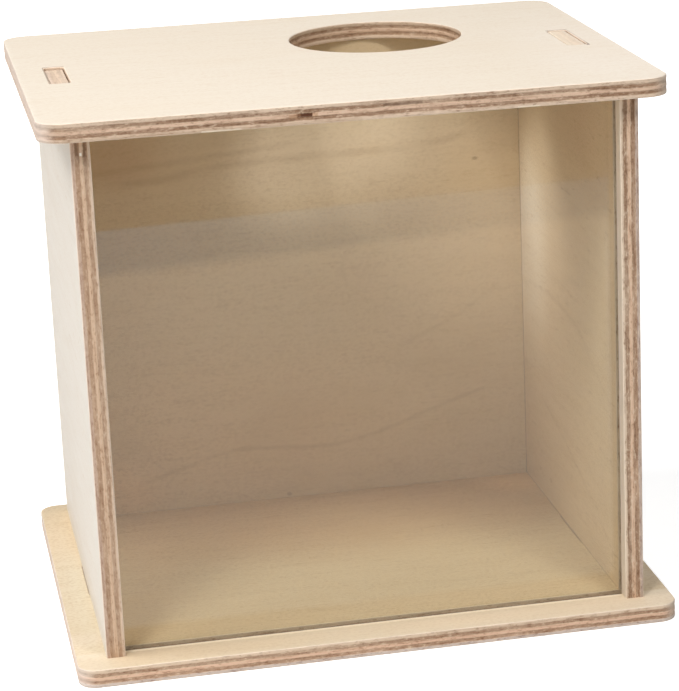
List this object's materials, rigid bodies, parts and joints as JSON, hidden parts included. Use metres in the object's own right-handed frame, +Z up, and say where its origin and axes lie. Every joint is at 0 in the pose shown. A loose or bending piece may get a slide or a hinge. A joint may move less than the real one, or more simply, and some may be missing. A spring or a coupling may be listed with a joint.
{
  "type": "hamster sand bath house",
  "caption": "Plywood sand bath house for small pets, with tenoned boards, a round entrance in the lift-off lid and a clear front window that slides out upwards.",
  "frame": {"origin": "on the surface that the base rests on, midway between the side walls and midway along them", "axes": "+Z up, +X to the right seen from the front, -Y towards the clear front window"},
  "size_m": [0.194, 0.158, 0.178],
  "materials": {
    "board_plywood": "sanded bare plywood, faint grain",
    "wall_plywood": "sanded bare plywood, faint grain",
    "clear_sheet": "clear polished acrylic"
  },
  "bodies": {
    "house": {"base_board": "board_plywood", "left_side_wall": "wall_plywood", "right_side_wall": "wall_plywood", "back_wall": "wall_plywood"},
    "lid": {"lid_board": "board_plywood"},
    "window": {"front_window": "clear_sheet"}
  },
  "joints": [
    {"name": "lid_lift", "type": "slide", "parent": "house", "child": "lid", "axis": [0, 0, 1], "range_m": [0, 0.36]},
    {"name": "window_slide", "type": "slide", "parent": "house", "child": "window", "axis": [0, 0, 1], "range_m": [0, 0.18]}
  ],
  "couplings": [
    {"joint": "window_slide", "follows": "lid_lift", "ratio": 0.5}
  ]
}
